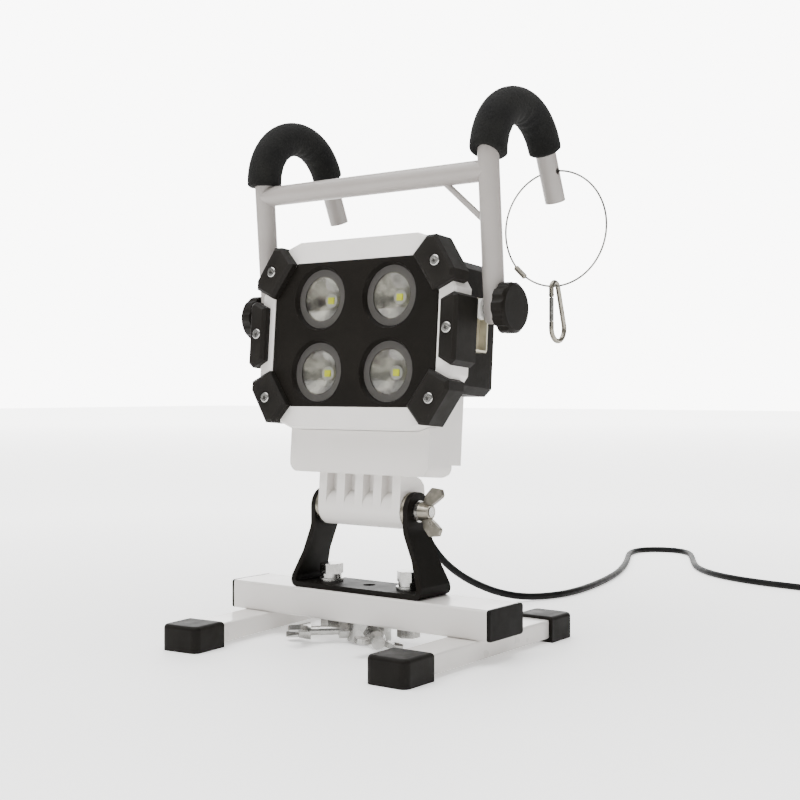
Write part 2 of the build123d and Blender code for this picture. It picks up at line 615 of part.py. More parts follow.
def side_guards():
    points = [(93, -22), (93, 24), (105.5, 29.6), (110, 27), (110, -24.5), (105, -28.6)]
    guard = slab_xz([(x, HEAD_Z + z) for x, z in points], GUARD_FRONT, SIDE_GUARD_BACK)
    guard = chamfer(guard.faces().sort_by(Axis.Y)[0].edges(), GUARD_BEVEL)
    guard -= shroud_solid(0.05, FACE_Y, 0)
    guard = drilled(guard, SCREW_SIDE[0], HEAD_Z + SCREW_SIDE[1])
    keep("side_guards", *[HEAD * g for g in both_sides(guard)])
    screws = []
    for x, z in screw_places():
        head = rod_y(GUARD_FRONT - 0.6, GUARD_FRONT + 2.2, x, z, 4.6)
        head = fillet(head.edges().sort_by(Axis.Y)[0], 1.1)
        head -= hexagon((x, GUARD_FRONT - 1, z), (x, GUARD_FRONT + 1.4, z), 3.2)
        screws.append(HEAD * (head + rod_y(GUARD_FRONT + 2.2, FACE_Y + 6, x, z, GUARD_SCREW)))
    keep("guard_screws", *screws)


def handle_brackets():
    """Shallow steel channels on the lamp's sides, with the nuts that the knobs screw into."""
    y = -(KNOB_Z - PIVOT_Z) * sin(radians(HEAD_LEAN)) + KNOB_Y * cos(radians(HEAD_LEAN))
    z = (KNOB_Z - PIVOT_Z) * cos(radians(HEAD_LEAN)) + KNOB_Y * sin(radians(HEAD_LEAN))
    front, rear = y - BRACKET_FRONT, y + BRACKET_REAR
    top, t = z + BRACKET_FRONT + 0.5, BRACKET_WALL
    outer = block(BRACKET_IN, BRACKET_OUT, front, rear, z - BRACKET_DROP, top)
    outer = fillet(outer.edges().filter_by(Axis.X), 2.5)
    inner = block(
        BRACKET_IN + t, BRACKET_OUT + 1, front + t, rear - t, z - BRACKET_DROP + t, top - t
    )
    channel = outer - fillet(inner.edges().filter_by(Axis.X), 1)
    channel -= rod_x(90, 120, y, z, STUD / 2)
    spots = (z - 13, z - 27)
    screws = []
    for s in spots:
        channel -= rod_x(90, 120, y, s, 2.1)
        head = rod_x(BRACKET_IN + t, BRACKET_IN + t + 2.4, y, s, 4)
        head = fillet(head.edges().sort_by(Axis.X)[-1], 1.2)
        head -= Pos(BRACKET_IN + t + 2.4, y, s) * Box(2, 5, 0.9)
        head -= Pos(BRACKET_IN + t + 2.4, y, s) * Box(2, 0.9, 5)
        screws.append(head + rod_x(BRACKET_IN, BRACKET_IN + t, y, s, 2.1))
    nut = hexagon((BRACKET_IN + t, y, z), (BRACKET_OUT, y, z), 11)
    nut -= rod_x(90, 120, y, z, STUD / 2 + RUNNING)
    spacer = rod_x(BRACKET_OUT, UPRIGHT_X - TUBE / 2 - 0.3, y, z, 8.6)
    spacer -= rod_x(90, 120, y, z, STUD / 2 + 0.3)
    keep("handle_brackets", *[HEAD * s for s in both_sides(channel)])
    keep("handle_bracket_screws", *[HEAD * s for one in screws for s in both_sides(one)])
    keep("handle_nuts", *[HEAD * s for s in both_sides(nut)])
    keep("handle_spacers", *[HEAD * s for s in both_sides(spacer)])


# ---------------------------------------------------------------- handle
def hook_points():
    """Start and end of the hook's bend and the end of its leg, in the handle's Y and Z."""
    end = radians(180 - HOOK_TURN)
    bend_end = (HOOK_RADIUS + HOOK_RADIUS * cos(end), HOOK_START + HOOK_RADIUS * sin(end))
    along = (sin(end), -cos(end))
    leg_end = (bend_end[0] + HOOK_LEG * along[0], bend_end[1] + HOOK_LEG * along[1])
    return bend_end, along, leg_end


def hook_path(low, tail):
    """Upright, bend and leg: from low on the upright to a length of tail past the bend."""
    (by, bz), (dy, dz), _ = hook_points()
    bend = CenterArc((HOOK_RADIUS, HOOK_START), HOOK_RADIUS, 180, -HOOK_TURN)
    leg = Line((by, bz), (by + tail * dy, bz + tail * dz))
    return Plane.YZ * (Line((0, low), (0, HOOK_START)) + bend + leg)


def hook_bar(radius, low, tail):
    return tube_along(hook_path(low, tail), radius, (0, 0, low), (0, 0, 1))


def handle():
    outer = hook_bar(TUBE / 2, UPRIGHT_LOW, HOOK_LEG)
    outer = fillet(outer.edges().sort_by(Axis.Z)[0], 5)
    bore = hook_bar(TUBE / 2 - TUBE_WALL, UPRIGHT_LOW + 3, HOOK_LEG + 1)
    tube = outer - bore
    tube -= rod_x(-20, 20, 0, 0, STUD / 2 + 0.3)
    (by, bz), (dy, dz), _ = hook_points()
    ring_y, ring_z = by + RING_HOLE_ALONG * dy, bz + RING_HOLE_ALONG * dz
    drilled_tube = tube - rod_x(-20, 20, ring_y, ring_z, RING_HOLE / 2)
    keep("right_hook_tube", HANDLE * Pos(UPRIGHT_X, 0, 0) * drilled_tube)
    keep("left_hook_tube", HANDLE * Pos(-UPRIGHT_X, 0, 0) * tube)
    bar = rod_x(-UPRIGHT_X, UPRIGHT_X, 0, CROSSBAR_V, TUBE / 2)
    bar -= rod_x(-UPRIGHT_X, UPRIGHT_X, 0, CROSSBAR_V, TUBE / 2 - TUBE_WALL)
    for x in (-UPRIGHT_X, UPRIGHT_X):
        bar -= rod_z(60, 160, x, 0, TUBE / 2)
    keep("crossbar", HANDLE * bar)
    brace = rod((73.5, 0, CROSSBAR_V - 2.4), (UPRIGHT_X - 2, 0, CROSSBAR_V - 43), 2.6)
    brace -= rod_x(-UPRIGHT_X, UPRIGHT_X, 0, CROSSBAR_V, TUBE / 2)
    brace -= rod_z(20, 160, UPRIGHT_X, 0, TUBE / 2)
    keep("brace_rod", HANDLE * brace)
    foam = hook_bar(FOAM / 2, HOOK_START - 1, FOAM_TAIL)
    foam -= hook_bar(TUBE / 2, HOOK_START - 2, FOAM_TAIL + 1)
    keep("right_foam_grip", HANDLE * Pos(UPRIGHT_X, 0, 0) * foam)
    keep("left_foam_grip", HANDLE * Pos(-UPRIGHT_X, 0, 0) * foam)


def knobs():
    """Lobed clamping knobs, each with a steel stud that reaches the nut in the bracket."""
    body = rod_x(KNOB_IN, KNOB_OUT, 0, 0, KNOB_RADIUS)
    body = chamfer(body.faces().sort_by(Axis.X)[-1].edges(), 2.6)
    reach = KNOB_RADIUS + 4.7
    for i in range(KNOB_LOBES):
        a = radians(360 / KNOB_LOBES * (i + 0.5))
        body -= rod_x(KNOB_IN - 1, KNOB_OUT + 1, reach * cos(a), reach * sin(a), 6)
    stud = rod_x(BRACKET_IN + 0.4, KNOB_IN + 7, 0, 0, STUD / 2)
    body -= stud
    for side, sign in (("right", 1), ("left", -1)):
        for name, shape in ((f"{side}_knob", body), (f"{side}_knob_stud", stud)):
            turned = shape if sign > 0 else mirrored(shape)
            keep(name, Pos(0, KNOB_Y, KNOB_Z) * turned)


# ---------------------------------------------------------------- wire ring and carabiner
def ring_hole():
    """Centre of the hole in the right hook's leg, in the model's frame."""
    (by, bz), (dy, dz), _ = hook_points()
    y, z = by + RING_HOLE_ALONG * dy, bz + RING_HOLE_ALONG * dz
    a = radians(HANDLE_LEAN)
    return KNOB_Y + y * cos(a) - z * sin(a), KNOB_Z + y * sin(a) + z * cos(a)


def wire_ring():
    y, z = ring_hole()
    x = UPRIGHT_X + RING_SIDE
    centre_z = z - (RING_RADIUS**2 - RING_SIDE**2) ** 0.5
    place = Pos(x, y, centre_z) * Rot(90, 0, 0)
    clasp_angle = radians(CLASP_ANGLE)
    cx, cz = x + RING_RADIUS * cos(clasp_angle), centre_z + RING_RADIUS * sin(clasp_angle)
    ring = place * Torus(RING_RADIUS, WIRE / 2)
    along = (-sin(clasp_angle), cos(clasp_angle))
    ends = [(cx + s * 7 * along[0], y, cz + s * 7 * along[1]) for s in (-1, 1)]
    clasp = rod(ends[0], ends[1], 2.4)
    clasp = chamfer(clasp.edges().filter_by(GeomType.CIRCLE), 1.1)
    keep("ring_clasp", clasp)
    keep("wire_ring", ring - clasp)
    return x, y, centre_z - RING_RADIUS


def carabiner(x, y, z):
    """Pear-shaped snap hook that hangs with its narrow bow on the wire at y, z."""
    r = HOOK_WIRE / 2
    top = z + WIRE / 2 + 0.35 + r
    narrow, wide, drop = BOW_NARROW, BOW_WIDE, BOW_DROP
    left = y - narrow
    low = top - drop + wide
    c_top = (y, top - narrow)
    c_low = (left + wide, low)
    gap_x, gap_z = c_low[0] - c_top[0], c_low[1] - c_top[1]
    reach = hypot(gap_x, gap_z)
    lean = atan2(gap_x, -gap_z)
    spread = (wide - narrow) / reach
    tilt = lean + spread
    top_right = (c_top[0] + narrow * cos(tilt), c_top[1] + narrow * sin(tilt))
    low_right = (c_low[0] + wide * cos(tilt), c_low[1] + wide * sin(tilt))
    high_gate = c_top[1] - 3
    low_gate = c_low[1] + 3
    bow = CenterArc(c_top, narrow, 180, -180 + degrees(tilt))
    bottom = CenterArc(c_low, wide, degrees(tilt), -180 - degrees(tilt))
    path = Plane.YZ * (
        Line((left, high_gate), (left, c_top[1])) + bow + Line(top_right, low_right) + bottom
        + Line((left, c_low[1]), (left, low_gate))
    )
    body = tube_along(path, r, (0, left, high_gate), (0, 0, 1))
    pin_z = high_gate - 2.2
    fork = rod((0, left, high_gate), (0, left, pin_z - 2), r)
    fork -= block(-0.9, 0.9, left - 4, left + 4, 0, high_gate - 0.2)
    pin = rod_x(-r - 0.3, r + 0.3, left, pin_z, 0.6)
    body = body + fork - rod_x(-5, 5, left, pin_z, 0.6)
    nose = low_gate + 2.4
    slot = block(-0.85, 0.85, left - 4, left + 4, low_gate - 2.6, nose + 1)
    body = body + rod((0, left, low_gate), (0, left, nose), r) - slot
    blade = block(-0.6, 0.6, left - 1.5, left + 1.5, low_gate - 2.0, nose + 3)
    gate = rod((0, left, nose + 0.4), (0, left, high_gate - 4.9), r - 0.1)
    gate += block(-0.6, 0.6, left - 1.2, left + 1.2, high_gate - 5.2, high_gate - 0.8) + blade
    gate -= rod_x(-5, 5, left, pin_z, 0.6 + RUNNING)
    keep("carabiner_body", Pos(x, 0, 0) * body)
    keep("carabiner_pin", Pos(x, 0, 0) * pin)
    keep("carabiner_gate", Pos(x, 0, 0) * gate)
    print("carabiner bow centre", x, round(c_top[0], 3), round(c_top[1], 3))
    print("carabiner gate hinge", x, round(left, 3), round(pin_z, 3))


# ---------------------------------------------------------------- mains lead


def arc_radii(points):
    """Radius of the arc at each inner point: as large as its two runs allow."""
    radii = []
    for a, b, c in zip(points, points[1:], points[2:]):
        before, after = Vector(*b) - Vector(*a), Vector(*c) - Vector(*b)
        half = radians(before.get_angle(after)) / 2
        radii.append(0.45 * min(before.length, after.length) / tan(half))
    return radii


def lead_tube(name, points):
    radii = arc_radii(points)
    path = FilletPolyline(*points, radius=radii)
    start = Vector(*points[1]) - Vector(*points[0])
    tube = tube_along(path, CABLE / 2, points[0], start)
    share = tube.volume / (pi * (CABLE / 2) ** 2 * path.length)
    print(name, "radii", [round(r) for r in radii])
    print(name, "length", round(path.length, 1), "volume over section times length", round(share, 4))
    return tube


def mains_lead():
    swept = rod_x(-80, 20, 0, 0, RELIEF_RADIUS + 0.3)
    tube = lead_tube("lead_tube", ROUTE) - Pos(0, 0, PIVOT_Z) * swept
    keep("lead_tube", max(tube.solids(), key=lambda s: s.volume))
    x, y = COIL_CENTRE
    coil = rod_z(0.1, COIL_HEIGHT, x, y, COIL_OUTER) - rod_z(-1, 40, x, y, COIL_INNER)
    coil = fillet(coil.edges().filter_by(GeomType.CIRCLE), 3.4)
    tail = lead_tube("lead_tail", TAIL)
    keep("lead_tail", tail)
    keep("lead_coil", coil - tube - tail)
    plug(tail)
    # the gland in the driver cover, and its rubber strain relief
    back = DRIVER_BACK
    gland = hexagon((GLAND_X, back, GLAND_Z), (GLAND_X, back + 5, GLAND_Z), 19)
    gland += fillet(rod_y(back + 5, back + 15, GLAND_X, GLAND_Z, 8.6).edges().sort_by(Axis.Y)[-1], 2.5)
    gland += rod_y(back - 8, back, GLAND_X, GLAND_Z, 6)
    gland -= rod_y(back - 9, back + 16, GLAND_X, GLAND_Z, 4.9)
    keep("cable_gland", HEAD * gland)
    relief = rod_y(back + 3, back + 15, GLAND_X, GLAND_Z, 4.9)
    plane = Plane(origin=(GLAND_X, back + 15, GLAND_Z), z_dir=(0, 1, 0))
    relief += plane * Cone(6.4, 4.4, 27, align=(Align.CENTER, Align.CENTER, Align.MIN))
    relief &= rod_x(-80, 20, 0, 0, RELIEF_RADIUS)
    keep("strain_relief", HEAD * relief)


def plug(tail):
    """Moulded three-pin plug lying on the floor beside the coil, pins away from the lead."""
    x, y, z = PLUG_X, PLUG_Y, PLUG_Z
    body = loft([
        Plane(origin=(x, y, z), z_dir=(0, -1, 0)) * RectangleRounded(13, 13, 5),
        Plane(origin=(x, y - 16, z), z_dir=(0, -1, 0)) * RectangleRounded(20, 20, 7),
        Plane(origin=(x, y - 26, z), z_dir=(0, -1, 0)) * RectangleRounded(29, 32, 9),
    ])
    collar = Plane(origin=(x, y - 26, z), z_dir=(0, -1, 0)) * RectangleRounded(29, 32, 9)
    body += extrude(collar, 16)
    front = y - 42
    pins = []
    for s in (-6.35, 6.35):
        pins.append(block(x + s - 0.8, x + s + 0.8, front - 17, front + 6, z - 1, z + 5.4))
    pins.append(rod_y(front - 20, front + 6, x, z - 8, 2.4))
    for pin in pins:
        body -= pin
    keep("plug", body - tail)
    keep("plug_pins", *pins)


# ---------------------------------------------------------------- build
def main():
    cross_tube()
    feet()
    tripod_socket()
    mast_screws()
    u_bracket()
    bracket_fasteners()
    pivot_hardware()
    driver_housing()
    front_shroud()
    optics()
    rear_housing()
    corner_guards()
    side_guards()
    handle_brackets()
    handle()
    knobs()
    carabiner(*wire_ring())
    mains_lead()
    os.makedirs("parts", exist_ok=True)
    for name, shape in PARTS.items():
        export_step(shape, f"parts/{name}.step")
    print(len(PARTS), "nodes")


main()
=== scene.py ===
"""Looks for the four-lens work light: materials, foam grips, optics, lead, floor, light and camera."""
import json
from math import cos, hypot, pi, radians, sin

import bmesh
import bpy
from mathutils import Matrix, Vector


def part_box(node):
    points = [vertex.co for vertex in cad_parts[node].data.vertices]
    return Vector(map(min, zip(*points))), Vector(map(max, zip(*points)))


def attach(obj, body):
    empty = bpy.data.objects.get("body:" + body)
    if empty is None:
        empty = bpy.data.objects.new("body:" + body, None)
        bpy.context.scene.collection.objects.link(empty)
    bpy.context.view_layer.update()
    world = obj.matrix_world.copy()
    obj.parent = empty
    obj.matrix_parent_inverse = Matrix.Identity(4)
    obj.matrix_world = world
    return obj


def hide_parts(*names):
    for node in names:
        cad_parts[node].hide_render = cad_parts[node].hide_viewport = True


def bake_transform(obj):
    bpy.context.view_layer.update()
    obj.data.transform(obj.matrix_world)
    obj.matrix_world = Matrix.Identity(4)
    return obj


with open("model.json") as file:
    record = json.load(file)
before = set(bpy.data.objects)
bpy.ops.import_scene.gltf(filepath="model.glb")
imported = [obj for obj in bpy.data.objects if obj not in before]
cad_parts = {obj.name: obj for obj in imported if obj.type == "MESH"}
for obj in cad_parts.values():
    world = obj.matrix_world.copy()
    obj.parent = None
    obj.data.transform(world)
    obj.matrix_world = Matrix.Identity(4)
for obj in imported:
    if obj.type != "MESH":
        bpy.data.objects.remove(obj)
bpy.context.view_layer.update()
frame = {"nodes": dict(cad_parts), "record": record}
NODES = frame["nodes"]
MM = 0.001

# ---------------------------------------------------------------- camera
CAMERA_AT = (0.6658, -0.8501, 0.214)
CAMERA_TURN = 36.68  # degrees about +Z
CAMERA_DROP = 0.44  # degrees below the horizon
LENS_MM = 57.17
SENSOR_MM = 36.0

# ---------------------------------------------------------------- lamp head and handle, mm and degrees
PIVOT_Z = 114.0
HEAD_LEAN = 4.5
HEAD_Z = 145.5
KNOB_Y = 9.2
KNOB_Z = 279.3
HANDLE_LEAN = 4.5
HEAD = Matrix.Translation((0, 0, PIVOT_Z)) @ Matrix.Rotation(-radians(HEAD_LEAN), 4, "X")
HANDLE = Matrix.Translation((0, KNOB_Y, KNOB_Z)) @ Matrix.Rotation(radians(HANDLE_LEAN), 4, "X")
LENS_CENTRES = [(x, HEAD_Z + z) for x in (-37.0, 37.0) for z in (-32.2, 30.6)]
LENS_RING = 19.0  # the frosted ring starts this far from a lens's centre


def link(obj):
    bpy.context.scene.collection.objects.link(obj)
    return obj


def mesh_object(name, bm, material, sharp_from, place=None):
    """An object in metres from a bmesh in mm, with sharp edges where it turns by more than sharp_from."""
    mesh = bpy.data.meshes.new(name)
    bmesh.ops.recalc_face_normals(bm, faces=bm.faces)
    bm.to_mesh(mesh)
    bm.free()
    if place is not None:
        mesh.transform(place)
    mesh.transform(Matrix.Scale(MM, 4))
    mesh.shade_smooth()
    mesh.set_sharp_from_angle(angle=radians(sharp_from))
    mesh.materials.append(material)
    return link(bpy.data.objects.new(name, mesh))


# ---------------------------------------------------------------- materials
class Nodes:
    """Small helper that builds one procedural material."""

    def __init__(self, name):
        self.material = bpy.data.materials.new(name)
        self.material.use_nodes = True
        self.tree = self.material.node_tree
        self.shader = self.tree.nodes["Principled BSDF"]
        self.where = self.tree.nodes.new("ShaderNodeTexCoord").outputs["Object"]

    def add(self, kind, **settings):
        node = self.tree.nodes.new(kind)
        for key, value in settings.items():
            setattr(node, key, value)
        return node

    def join(self, source, target):
        self.tree.links.new(source, target)

    def put(self, **values):
        for key, value in values.items():
            self.shader.inputs[key.replace("_", " ")].default_value = value

    def noise(self, scale, detail=3.0, roughness=0.55):
        node = self.add("ShaderNodeTexNoise")
        node.inputs["Scale"].default_value = scale
        node.inputs["Detail"].default_value = detail
        node.inputs["Roughness"].default_value = roughness
        self.join(self.where, node.inputs["Vector"])
        return node.outputs["Fac"]

    def cells(self, scale):
        node = self.add("ShaderNodeTexVoronoi")
        node.inputs["Scale"].default_value = scale
        self.join(self.where, node.inputs["Vector"])
        return node.outputs["Distance"]

    def span(self, value, low, high, to_low, to_high):
        """value between low and high, spread over to_low to to_high."""
        node = self.add("ShaderNodeMapRange")
        for key, number in (
            ("From Min", low), ("From Max", high), ("To Min", to_low), ("To Max", to_high),
        ):
            node.inputs[key].default_value = number
        self.join(value, node.inputs["Value"])
        return node.outputs["Result"]

    def blend(self, factor, first, second):
        """Colour between first and second; either may be a colour or a socket."""
        node = self.add("ShaderNodeMix", data_type="RGBA")
        self.join(factor, node.inputs["Factor"])
        a, b = [s for s in node.inputs if s.type == "RGBA"]
        for socket, value in ((a, first), (b, second)):
            if isinstance(value, tuple):
                socket.default_value = (*value, 1.0)
            else:
                self.join(value, socket)
        return [s for s in node.outputs if s.type == "RGBA"][0]

    def edges(self):
        """1 on worn convex edges, 0 elsewhere."""
        point = self.add("ShaderNodeNewGeometry").outputs["Pointiness"]
        return self.span(point, 0.52, 0.60, 0.0, 1.0)

    def times(self, first, second):
        node = self.add("ShaderNodeMath", operation="MULTIPLY")
        self.join(first, node.inputs[0])
        if isinstance(second, float):
            node.inputs[1].default_value = second
        else:
            self.join(second, node.inputs[1])
        return node.outputs[0]

    def bump(self, height, strength, distance, under=None):
        node = self.add("ShaderNodeBump")
        node.inputs["Strength"].default_value = strength
        node.inputs["Distance"].default_value = distance
        self.join(height, node.inputs["Height"])
        if under:
            self.join(under, node.inputs["Normal"])
        return node.outputs["Normal"]

    def base(self, socket):
        self.join(socket, self.shader.inputs["Base Color"])

    def rough(self, socket):
        self.join(socket, self.shader.inputs["Roughness"])

    def normal(self, socket):
        self.join(socket, self.shader.inputs["Normal"])


def painted(name, colour, shade, roughness, peel=0.10, grain=520.0, coat=0.0, shine=0.5):
    """Powder coat: orange peel, faint grime and slightly duller patches."""
    m = Nodes(name)
    broad = m.noise(14.0, 4.0)
    m.base(m.blend(m.span(broad, 0.35, 0.75, 0.0, 1.0), colour, shade))
    m.rough(m.span(m.noise(40.0, 3.0), 0.3, 0.7, roughness - 0.05, roughness + 0.08))
    peel_normal = m.bump(m.noise(grain, 2.0), peel, 0.0004)
    m.normal(m.bump(m.noise(grain * 4.0, 2.0), peel * 0.5, 0.0001, peel_normal))
    m.put(Specular_IOR_Level=shine)
    if coat:
        m.put(Coat_Weight=coat, Coat_Roughness=0.18)
    return m.material


def moulded(name, colour, shade, roughness, grain=900.0, strength=0.18, worn=0.2, shine=0.10):
    """Moulded rubber or plastic: spark-eroded grain, dust in patches and paler worn edges."""
    m = Nodes(name)
    dust = m.span(m.noise(22.0, 5.0, 0.65), 0.45, 0.75, 0.0, 1.0)
    body = m.blend(dust, colour, shade)
    pale = tuple(min(1.0, c * 2.2 + 0.012) for c in colour)
    m.base(m.blend(m.times(m.edges(), worn), body, pale))
    m.rough(m.span(m.noise(70.0, 3.0), 0.3, 0.7, roughness - 0.07, roughness + 0.07))
    m.normal(m.bump(m.noise(grain, 3.0), strength, 0.0003))
    m.put(Specular_IOR_Level=shine)
    return m.material


def plated(name, colour, shade, roughness, spangle=160.0):
    """Plated steel: faint crystals and small differences of tint."""
    m = Nodes(name)
    patch = m.cells(spangle)
    m.base(m.blend(m.span(patch, 0.1, 0.7, 0.0, 1.0), colour, shade))
    m.put(Metallic=1.0)
    m.rough(m.span(m.noise(90.0, 4.0), 0.3, 0.7, roughness - 0.05, roughness + 0.08))
    m.normal(m.bump(m.noise(700.0, 2.0), 0.06, 0.0002))
    return m.material


def foam_material():
    """Foam with small and large open cells, dull and almost black."""
    m = Nodes("foam")
    small, large = m.cells(900.0), m.cells(360.0)
    patch = m.span(m.noise(30.0, 4.0), 0.35, 0.7, 0.0, 1.0)
    m.base(m.blend(patch, (0.004, 0.004, 0.004), (0.009, 0.009, 0.008)))
    m.put(Roughness=0.92, Sheen_Weight=0.02, Sheen_Roughness=0.6, Specular_IOR_Level=0.08)
    m.normal(m.bump(small, 0.55, 0.0004, m.bump(large, 0.35, 0.0006)))
    return m.material


def glass_material(name, colour, transmission, roughness, ripple, grain):
    """Clear or frosted lens plastic with a slight ripple."""
    m = Nodes(name)
    m.put(Base_Color=(*colour, 1.0), Transmission_Weight=transmission, IOR=1.46)
    m.rough(m.span(m.noise(120.0, 3.0), 0.3, 0.7, roughness * 0.7, roughness * 1.3))
    m.normal(m.bump(m.noise(grain, 2.0), ripple, 0.0004))
    return m.material


def reflector_material():
    """Bright reflector with soft dimples, and darker brownish patches that paint shade in its cups."""
    m = Nodes("reflector_metal")
    # darker brownish patches at random places: painted shade in the reflector cups
    patch = m.span(m.noise(46.0, 3.0, 0.6), 0.46, 0.62, 0.0, 1.0)
    m.base(m.blend(patch, (0.20, 0.19, 0.16), (0.05, 0.04, 0.03)))
    m.put(Metallic=0.75)
    m.rough(m.span(m.noise(200.0, 3.0), 0.3, 0.7, 0.30, 0.46))
    m.normal(m.bump(m.cells(260.0), 0.35, 0.0010))
    return m.material


def phosphor_material():
    """Yellow phosphor over the light's chips, slightly grainy."""
    m = Nodes("led_phosphor")
    grain = m.span(m.noise(900.0, 3.0), 0.3, 0.7, 0.0, 1.0)
    m.base(m.blend(grain, (0.60, 0.62, 0.0), (0.72, 0.74, 0.004)))
    m.put(Roughness=0.6, Specular_IOR_Level=0.2)
    return m.material


def cable_material():
    """Rubber jacket with a fine grain and a little dust."""
    m = Nodes("cable_jacket")
    dust = m.span(m.noise(60.0, 4.0), 0.4, 0.75, 0.0, 1.0)
    m.base(m.blend(dust, (0.003, 0.003, 0.003), (0.008, 0.008, 0.007)))
    m.put(Specular_IOR_Level=0.1)
    m.rough(m.span(m.noise(160.0, 3.0), 0.3, 0.7, 0.42, 0.6))
    m.normal(m.bump(m.noise(1400.0, 2.0), 0.12, 0.0002))
    return m.material


WHITE = (0.68, 0.655, 0.63)
WHITE_SHADE = (0.64, 0.615, 0.585)
PAINT = (0.67, 0.645, 0.62)
PAINT_SHADE = (0.62, 0.595, 0.565)
# The handle's tubes have the same white paint as the stand; these much darker colours paint shade on
# them.
SHADED_HANDLE_PAINT = (0.27, 0.25, 0.235)
SHADED_HANDLE_TONE = (0.24, 0.22, 0.205)
BLACK = (0.0046, 0.0038, 0.0028)
BLACK_SHADE = (0.008, 0.0068, 0.0054)

MATERIALS = {
    "white_coat": painted("white_coat", WHITE, WHITE_SHADE, 0.42, peel=0.16, grain=380.0, coat=0.15),
    "white_paint": painted("white_paint", PAINT, PAINT_SHADE, 0.32, grain=420.0, coat=0.3),
    # painted shade: a darker copy of the white paint, for the handle's tubes
    "shaded_handle_paint": painted(
        "shaded_handle_paint", SHADED_HANDLE_PAINT, SHADED_HANDLE_TONE, 0.32, grain=420.0, coat=0.2, shine=0.35,
    ),
    "black_coat": painted("black_coat", BLACK, BLACK_SHADE, 0.5, peel=0.20, grain=620.0, shine=0.07),
    "black_casting": painted(
        "black_casting", BLACK, BLACK_SHADE, 0.5, peel=0.35, grain=300.0, shine=0.08,
    ),
    "rubber": moulded("rubber", BLACK, BLACK_SHADE, 0.55),
    "black_plastic": moulded(
        "black_plastic", BLACK, BLACK_SHADE, 0.48, grain=1100.0, strength=0.12, shine=0.08,
    ),
    "cap_plastic": moulded(
        "cap_plastic", (0.005, 0.0045, 0.004), (0.009, 0.008, 0.007), 0.55,
        grain=800.0, strength=0.15, shine=0.07,
    ),
    "white_plastic": moulded(
        "white_plastic", (0.76, 0.75, 0.72), (0.70, 0.69, 0.66), 0.45,
        grain=800.0, strength=0.08, worn=0.0, shine=0.5,
    ),
    "zinc": plated("zinc", (0.42, 0.415, 0.40), (0.35, 0.345, 0.33), 0.24),
    "nickel": plated("nickel", (0.27, 0.25, 0.21), (0.20, 0.187, 0.155), 0.30, spangle=260.0),
    "wire_steel": plated("wire_steel", (0.22, 0.22, 0.21), (0.14, 0.14, 0.13), 0.35, spangle=260.0),
    "yellow_zinc": plated("yellow_zinc", (0.68, 0.64, 0.52), (0.56, 0.53, 0.43), 0.5, spangle=120.0),
    "reflector_metal": reflector_material(),
    "brass_pins": plated("brass_pins", (0.80, 0.62, 0.30), (0.72, 0.54, 0.24), 0.28, spangle=200.0),
    "foam": foam_material(),
    "clear_lens": glass_material("clear_lens", (0.97, 0.98, 0.97), 1.0, 0.12, ripple=0.05, grain=120.0),
    "frosted_ring": glass_material(
        "frosted_ring", (0.045, 0.041, 0.036), 0.35, 0.5, ripple=0.3, grain=900.0,
    ),
    "led_phosphor": phosphor_material(),
    "board": painted("board", (0.42, 0.41, 0.37), (0.38, 0.37, 0.33), 0.35, peel=0.05),
    "driver_green": painted("driver_green", (0.03, 0.16, 0.07), (0.04, 0.20, 0.09), 0.4, peel=0.08),
    "cable_jacket": cable_material(),
}


SOFT_EDGES = {  # width of the rounding in mm
    "front_shroud": 0.8, "driver_housing": 0.9, "rear_housing": 0.7, "corner_guards": 0.9,
    "side_guards": 0.9, "foot_boots": 0.9, "u_bracket": 0.5, "bezel_plate": 0.3,
    "wing_nut": 0.8, "left_mast_screw": 0.8, "right_mast_screw": 0.8, "plug": 0.8,
    "left_knob": 0.8, "right_knob": 0.8, "handle_brackets": 0.25, "cross_tube_caps": 0.4,
}
OTHER_EDGES = 0.2
WIDE_EDGE = 0.3  # a wider rounding than this gets one more segment
EDGE_ANGLE = 38.0


def dress_cad_nodes():
    """Gives every CAD node the material of its slot, and softens its hard edges a little."""
    slots = {s["node"]: s["material_slot"] for s in frame["record"]["subparts"]}
    for name, obj in NODES.items():
        obj.data.materials.clear()
        obj.data.materials.append(MATERIALS[slots[name]])
        width = SOFT_EDGES.get(name, OTHER_EDGES)
        bevel = obj.modifiers.new("soft_edges", "BEVEL")
        bevel.width = width * MM
        bevel.segments = 3 if width > WIDE_EDGE else 2
        bevel.limit_method = "ANGLE"
        bevel.angle_limit = radians(EDGE_ANGLE)
        bevel.harden_normals = False
    frost_lens_rings(NODES["lenses"].data)
    for name in ("wire_ring", "carabiner_gate"):
        NODES[name].data.materials[0] = MATERIALS["wire_steel"]
    # the handle's tubes get the darker copy of the white paint, which paints shade on them
    for name in ("left_hook_tube", "right_hook_tube", "crossbar", "brace_rod"):
        NODES[name].data.materials[0] = MATERIALS["shaded_handle_paint"]


def frost_lens_rings(mesh):
    """The flat ring round each lens's clear middle is frosted."""
    mesh.materials.append(MATERIALS["frosted_ring"])
    back = HEAD.inverted()
    for face in mesh.polygons:
        place = back @ (face.center / MM)
        away = min(hypot(place.x - x, place.z - z) for x, z in LENS_CENTRES)
        face.material_index = 1 if away > LENS_RING else 0


# ---------------------------------------------------------------- sweeps
def bridge(bm, rings):
    """Faces between each ring of vertices and the next."""
    for first, second in zip(rings, rings[1:]):
        for k in range(len(first)):
            n = (k + 1) % len(first)
            bm.faces.new((first[k], first[n], second[n], second[k]))


